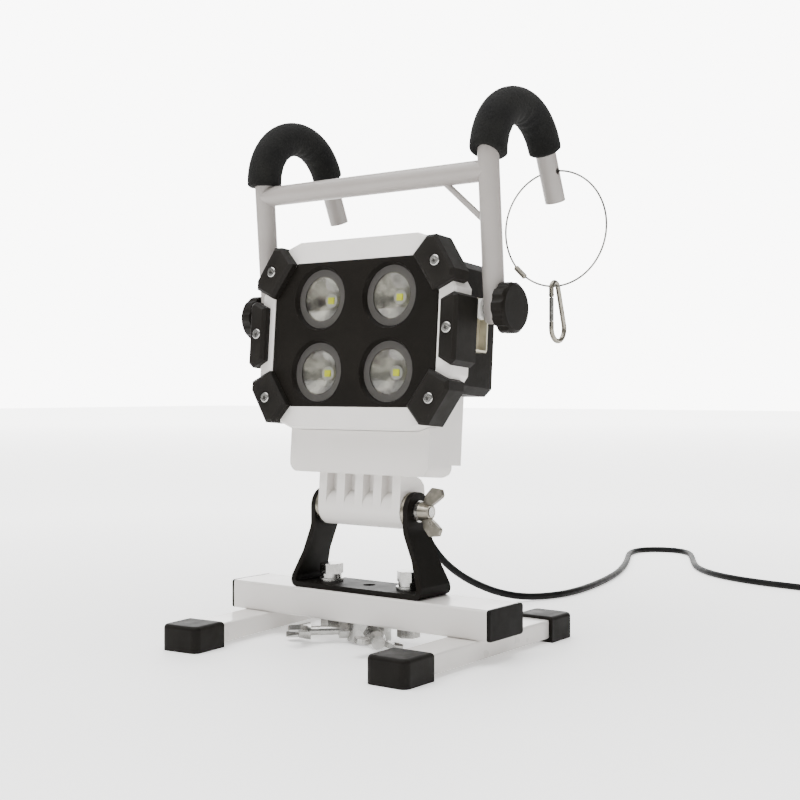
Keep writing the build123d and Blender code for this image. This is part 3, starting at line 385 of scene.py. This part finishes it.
def sweep_rings(points, radii, sides):
    """Tube through points with a radius at each, as a bmesh in the units of the points."""
    bm = bmesh.new()
    points = [Vector(p) for p in points]
    count = len(points)
    tangents = []
    for i in range(count):
        ahead, behind = points[min(i + 1, count - 1)], points[max(i - 1, 0)]
        tangents.append((ahead - behind).normalized())
    side = tangents[0].orthogonal().normalized()
    rings = []
    for i, (point, radius) in enumerate(zip(points, radii)):
        if i:
            side = (tangents[i - 1].rotation_difference(tangents[i]) @ side).normalized()
        other = tangents[i].cross(side)
        ring = []
        for k in range(sides):
            a = 2 * pi * k / sides
            ring.append(bm.verts.new(point + radius * (cos(a) * side + sin(a) * other)))
        rings.append(ring)
    bridge(bm, rings)
    bm.faces.new(rings[0][::-1])
    bm.faces.new(rings[-1])
    return bm


# ---------------------------------------------------------------- mains lead
CABLE = 0.007
LEAD_Z = 0.0036
# the same points as the CAD tube follows, in metres
ROUTE = [
    (-0.048, 0.062, 0.1593), (-0.048, 0.090, 0.157), (-0.048, 0.113, 0.141), (-0.0475, 0.126, 0.115),
    (-0.0445, 0.136, 0.085), (-0.0355, 0.151, 0.056), (-0.029, 0.173, 0.037), (-0.022, 0.201, 0.022),
    (-0.013, 0.230, 0.0105), (-0.001, 0.256, 0.0046), (0.012, 0.281, LEAD_Z), (0.019, 0.309, LEAD_Z),
    (0.018, 0.350, LEAD_Z), (0.008, 0.413, LEAD_Z), (-0.008, 0.476, LEAD_Z), (-0.029, 0.534, LEAD_Z),
    (-0.050, 0.584, LEAD_Z), (-0.070, 0.627, LEAD_Z), (-0.079, 0.655, LEAD_Z), (-0.0795, 0.681, LEAD_Z),
    (-0.062, 0.701, LEAD_Z), (-0.036, 0.704, LEAD_Z), (-0.015, 0.690, LEAD_Z), (0.002, 0.660, LEAD_Z),
    (0.025, 0.612, LEAD_Z), (0.052, 0.562, LEAD_Z), (0.092, 0.523, LEAD_Z), (0.145, 0.500, LEAD_Z),
    (0.205, 0.491, LEAD_Z), (0.250, 0.485, LEAD_Z),
]
TAIL = [(0.352, 0.412, 0.0244), (0.3515, 0.394, 0.020), (0.351, 0.376, 0.016)]
COIL_CENTRE = (0.300, 0.430)
COIL_INNER = 0.0276
COIL_OUTER = 0.0543
COIL_LAYERS = 4
COIL_PITCH = 0.00715
COIL_START = 104.0  # degrees
COIL_TURNS = 14.29
POINTS_PER_TURN = 16
CLIMB_FROM = 0.93  # part of a layer after which its last turn climbs to the next
SPLINE_INSIDE = 0.981  # radius of the smooth line over that of its control points
LEAD_SIDES = 14


def coil_points():
    """Clockwise turns that wind in, out, in and out again, one layer on another."""
    steps = round(COIL_TURNS * POINTS_PER_TURN)
    found = []
    for i in range(steps + 1):
        along = COIL_LAYERS * i / steps
        layer = min(int(along), COIL_LAYERS - 1)
        part = along - layer
        inward = layer % 2 == 0
        radius = COIL_OUTER + (COIL_INNER - COIL_OUTER) * (part if inward else 1 - part)
        climb = max(0.0, (part - CLIMB_FROM) / (1 - CLIMB_FROM)) if layer < COIL_LAYERS - 1 else 0.0
        angle = radians(COIL_START - 360.0 * COIL_TURNS * i / steps)
        found.append((
            COIL_CENTRE[0] + radius / SPLINE_INSIDE * cos(angle),
            COIL_CENTRE[1] + radius / SPLINE_INSIDE * sin(angle),
            LEAD_Z + COIL_PITCH * (layer + climb),
        ))
    return found


def spline_points(name, control, resolution):
    """Points along the smooth curve that the control points give."""
    curve = bpy.data.curves.new(name, "CURVE")
    curve.dimensions = "3D"
    spline = curve.splines.new("NURBS")
    spline.points.add(len(control) - 1)
    for point, place in zip(spline.points, control):
        point.co = (*place, 1.0)
    spline.order_u = 3
    spline.use_endpoint_u = True
    spline.resolution_u = resolution
    line = bpy.data.objects.new(name, curve)
    mesh = bpy.data.meshes.new_from_object(line)
    found = [v.co.copy() for v in mesh.vertices]
    bpy.data.objects.remove(line)
    bpy.data.curves.remove(curve)
    bpy.data.meshes.remove(mesh)
    return found


def mains_lead():
    """The lead from the gland to the plug, with its coil."""
    line = spline_points("lead_line", ROUTE + coil_points() + TAIL, 5)
    bm = sweep_rings([p / MM for p in line], [CABLE / MM / 2] * len(line), LEAD_SIDES)
    lead = mesh_object("mains_lead", bm, MATERIALS["cable_jacket"], 60)
    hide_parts("lead_tube", "lead_coil", "lead_tail")
    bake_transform(lead)
    coil_tie()


# the strap round the coil, in mm from the coil's centre and the floor
TIE_INNER = 22.8
TIE_OUTER = 59.2
TIE_BOTTOM = 0.25
TIE_TOP = 30.2
TIE_CORNER = 5.0
TIE_HALF = 9.0
TIE_THICK = 0.9
TIE_LOWEST = 0.05  # the strap keeps off the floor under the coil
TIE_AT = 35.0  # degrees round the coil


def coil_tie():
    """Hook-and-loop strap round the coil's turns, at the side away from the lamp."""
    low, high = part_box("lead_coil")
    centre = Vector(((low.x + high.x) / 2, (low.y + high.y) / 2, 0)) / MM
    angle = radians(TIE_AT)
    out, across = Vector((cos(angle), sin(angle), 0)), Vector((-sin(angle), cos(angle), 0))
    outer, inner = TIE_OUTER - TIE_CORNER, TIE_INNER + TIE_CORNER
    bottom, top = TIE_BOTTOM + TIE_CORNER, TIE_TOP - TIE_CORNER
    outline = []
    for r, z, start in (
        (outer, bottom, -90), (outer, top, 0), (inner, top, 90), (inner, bottom, 180),
    ):
        for turn in range(0, 91, 15):
            a = radians(start + turn)
            outline.append((r + TIE_CORNER * cos(a), z + TIE_CORNER * sin(a), cos(a), sin(a)))
    bm = bmesh.new()
    rings = []
    for offset, lift in ((-TIE_HALF, 0), (-TIE_HALF, TIE_THICK), (TIE_HALF, TIE_THICK), (TIE_HALF, 0)):
        ring = []
        for r, z, nr, nz in outline:
            place = centre + out * (r + nr * lift) + across * offset
            ring.append(bm.verts.new((place.x, place.y, max(TIE_LOWEST, z + nz * lift))))
        rings.append(ring)
    bridge(bm, rings + rings[:1])
    strap = mesh_object("coil_tie", bm, MATERIALS["black_plastic"], 40)
    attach(strap, "root")
    return strap


# the strain relief, in mm in the lamp head's frame
RELIEF_Z = 50.0
RELIEF_FROM = 40.0
RELIEF_LENGTH = 27.0
RELIEF_RADIUS = 6.3
RELIEF_TAPER = 2.1
RELIEF_GROOVES = 7
GROOVE_DEPTH = 0.75
GROOVE_SHIFT = 0.2
GROOVED = (0.12, 0.93)  # the part of its length that has grooves
RELIEF_STEPS = 60


def strain_relief():
    """Tapered rubber boot with ribs, out of the gland and round the lead."""
    low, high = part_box("cable_gland")
    gland_x = (low.x + high.x) / 2 / MM
    points, radii = [], []
    for i in range(RELIEF_STEPS + 1):
        t = i / RELIEF_STEPS
        points.append((gland_x, RELIEF_FROM + RELIEF_LENGTH * t, RELIEF_Z))
        radius = RELIEF_RADIUS - RELIEF_TAPER * t
        if GROOVED[0] < t < GROOVED[1]:
            wave = sin(2 * pi * (t * RELIEF_GROOVES - GROOVE_SHIFT))
            radius -= GROOVE_DEPTH * max(0.0, wave) ** 0.6
        radii.append(radius)
    bm = sweep_rings(points, radii, 32)
    boot = mesh_object("strain_relief_boot", bm, MATERIALS["cable_jacket"], 50, HEAD)
    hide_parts("strain_relief")
    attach(boot, "head")


# ---------------------------------------------------------------- foam grips
UPRIGHT_X = 120.0
TUBE = 17.5
FOAM_FRONT = 15.4  # radius on the upright
FOAM_BACK = 13.9  # radius where it ends on the leg
HOOK_RADIUS = 45.6
HOOK_START = 119.4
HOOK_TURN = 161.2
FOAM_TAIL = 6.2  # how far the foam runs down the leg past the bend
FOAM_LIP = 3.0  # length over which its ends are rounded
LIP_DROP = 0.8  # how deep that rounding is, as a part of its length
FOAM_THINS = 0.35  # part of its length after which it gets thinner
FOAM_FOLD = 0.35  # depth of the folds inside the bend
FOAM_WAVES = 60  # radians of folds along the foam
FOAM_GAP = 0.1  # between the foam's end and the tube
FOAM_INSET = 0.3  # how far the flat ends are dished
FOAM_LEAD = 1.0  # how far it starts before the bend
LEG_SLANT = 1.2  # slant of the end on the leg


def hook_at(along):
    """Point on the hook's centre line and the way out of its bend, in Y and Z."""
    turn = radians(HOOK_TURN)
    if along < 0:
        return Vector((0, 0, HOOK_START + along)), Vector((0, -1, 0))
    angle = pi - min(along / HOOK_RADIUS, turn)
    out = Vector((0, cos(angle), sin(angle)))
    place = Vector((0, HOOK_RADIUS, HOOK_START)) + out * HOOK_RADIUS
    rest = max(0.0, along - HOOK_RADIUS * turn)
    return place + rest * Vector((0, sin(angle), -cos(angle))), out


def lip_drop(near):
    """How much less than full the foam's radius is, this near to one of its ends."""
    if near >= FOAM_LIP:
        return 0.0
    return FOAM_LIP * (1 - (1 - (1 - near / FOAM_LIP) ** 2) ** 0.5) * LIP_DROP


def foam_grip(name, x, slant):
    """Foam sleeve over a hook's bend: thinner towards the leg, its first end cut on a slant."""
    steps, sides = 96, 48
    angles = [2 * pi * k / sides for k in range(sides)]
    total = HOOK_RADIUS * radians(HOOK_TURN) + FOAM_TAIL
    sideways = Vector((1, 0, 0))
    bm = bmesh.new()

    def first_end(a):
        return -FOAM_LEAD + slant * (1 + cos(a))

    def last_end(a):
        return total - LEG_SLANT * (1 + cos(a))

    def add_vertex(a, along, radius):
        place, out = hook_at(along)
        return bm.verts.new(place + x * sideways + radius * (cos(a) * out + sin(a) * sideways))

    rings = []
    for i in range(steps + 1):
        t = i / steps
        thinner = max(0.0, (t - FOAM_THINS) / (1 - FOAM_THINS)) ** 1.3
        ring = []
        for a in angles:
            first, last = first_end(a), last_end(a)
            along = first + (last - first) * t
            radius = FOAM_FRONT + (FOAM_BACK - FOAM_FRONT) * thinner
            # the foam folds a little at the inside of the bend
            radius += FOAM_FOLD * max(0.0, -cos(a)) * sin(t * FOAM_WAVES) * sin(pi * t) ** 2
            radius -= lip_drop(min(along - first, last - along))
            ring.append(add_vertex(a, along, radius))
        rings.append(ring)
    # flat ends that run in to the tube
    collar = TUBE / 2 + FOAM_GAP
    rings.insert(0, [add_vertex(a, first_end(a) + FOAM_INSET, collar) for a in angles])
    rings.append([add_vertex(a, last_end(a) - FOAM_INSET, collar) for a in angles])
    bridge(bm, rings)
    grip = mesh_object(name, bm, MATERIALS["foam"], 70, HANDLE)
    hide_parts(name.replace("_sleeve", "_grip"))
    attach(grip, "handle")


# ---------------------------------------------------------------- light, floor, camera
def camera():
    """A nearly level camera in front of the lamp and to one side."""
    data = bpy.data.cameras.new("camera")
    data.lens = LENS_MM
    data.sensor_width = SENSOR_MM
    data.clip_start = 0.01
    obj = link(bpy.data.objects.new("camera", data))
    obj.location = CAMERA_AT
    obj.rotation_euler = (radians(90 - CAMERA_DROP), 0, radians(CAMERA_TURN))
    bpy.context.scene.camera = obj


def area_light(name, place, target, size, power, tint=(1.0, 1.0, 1.0)):
    """A round soft light at place, facing target."""
    data = bpy.data.lights.new(name, "AREA")
    data.shape = "DISK"
    data.size = size
    data.energy = power
    data.color = tint
    obj = link(bpy.data.objects.new(name, data))
    obj.location = place
    obj.rotation_euler = (Vector(target) - Vector(place)).to_track_quat("-Z", "Y").to_euler()


WORLD_FRONT = 0.36  # light from the room in front of the lamp
WORLD_BACK = 5.6  # light from the bright side behind it
BACKDROP = 9.0  # the pale wall that is seen all round
BRIGHT_EDGE = (0.66, 0.92)  # cosines of the angles from BACK_WAY between which that side fades
BACK_WAY = (-0.597, 0.802, 0.0)
WARM_WHITE = (1.0, 0.995, 0.985, 1.0)
FLOOR_HALF = 12.0  # metres
FLOOR_NEAR = 0.45  # glow of the floor under the lamp
FLOOR_FAR = 2.4  # its glow at FLOOR_STEPS[1]
FLOOR_GAIN = 2.1  # how much brighter than that it is at FLOOR_STEPS[2], where it meets the backdrop
FLOOR_STEPS = (0.15, 1.2, 7.0)  # metres from the lamp


def studio_world():
    """Soft light from all round, brighter from behind the lamp, and a pale backdrop to look at."""
    world = bpy.data.worlds.new("studio")
    world.use_nodes = True
    tree = world.node_tree
    background = tree.nodes["Background"]
    background.inputs["Color"].default_value = WARM_WHITE
    where = tree.nodes.new("ShaderNodeTexCoord").outputs["Generated"]
    toward = tree.nodes.new("ShaderNodeVectorMath")
    toward.operation = "DOT_PRODUCT"
    tree.links.new(where, toward.inputs[0])
    toward.inputs[1].default_value = BACK_WAY
    spread = tree.nodes.new("ShaderNodeMapRange")
    spread.interpolation_type = "SMOOTHSTEP"
    spread.inputs["From Min"].default_value = BRIGHT_EDGE[0]
    spread.inputs["From Max"].default_value = BRIGHT_EDGE[1]
    spread.inputs["To Min"].default_value = WORLD_FRONT
    spread.inputs["To Max"].default_value = WORLD_BACK
    tree.links.new(toward.outputs["Value"], spread.inputs["Value"])
    seen = tree.nodes.new("ShaderNodeMix")
    seen.inputs["B"].default_value = BACKDROP
    path = tree.nodes.new("ShaderNodeLightPath")
    tree.links.new(path.outputs["Is Camera Ray"], seen.inputs["Factor"])
    tree.links.new(spread.outputs["Result"], seen.inputs["A"])
    tree.links.new(seen.outputs["Result"], background.inputs["Strength"])
    bpy.context.scene.world = world


def studio_lights():
    """One large soft light above, a key from the front and a weak one from the side."""
    lamp = (0, 0, 0.25)
    area_light("key", (-0.7, -1.5, 1.5), lamp, size=1.3, power=15.0, tint=(1.0, 0.99, 0.975))
    area_light("side", (1.6, -0.4, 0.9), lamp, size=1.0, power=1.2)
    area_light("top", (-0.1, -0.2, 1.8), (0, 0, 0.2), size=2.2, power=70.0)


def studio_floor():
    """Pale floor that glows more with distance, so that it runs into the backdrop."""
    bm = bmesh.new()
    bmesh.ops.create_grid(bm, x_segments=1, y_segments=1, size=FLOOR_HALF)
    mesh = bpy.data.meshes.new("floor")
    bm.to_mesh(mesh)
    bm.free()
    floor = link(bpy.data.objects.new("floor", mesh))
    m = Nodes("floor")
    patch = m.span(m.noise(2.0, 2.0), 0.3, 0.7, 0.0, 1.0)
    m.base(m.blend(patch, (0.92, 0.92, 0.915), (0.90, 0.90, 0.895)))
    m.put(Roughness=0.6, Emission_Color=WARM_WHITE)
    away = m.add("ShaderNodeVectorMath", operation="LENGTH")
    m.join(m.where, away.inputs[0])
    under, middle, end = FLOOR_STEPS
    close = m.span(away.outputs["Value"], under, middle, FLOOR_NEAR, FLOOR_FAR)
    far = m.span(away.outputs["Value"], middle, end, 1.0, FLOOR_GAIN)
    m.join(m.times(close, far), m.shader.inputs["Emission Strength"])
    mesh.materials.append(m.material)


camera()
studio_world()
studio_lights()
studio_floor()
dress_cad_nodes()
mains_lead()
strain_relief()
foam_grip("left_foam_sleeve", -UPRIGHT_X, slant=0.4)
foam_grip("right_foam_sleeve", UPRIGHT_X, slant=4.4)
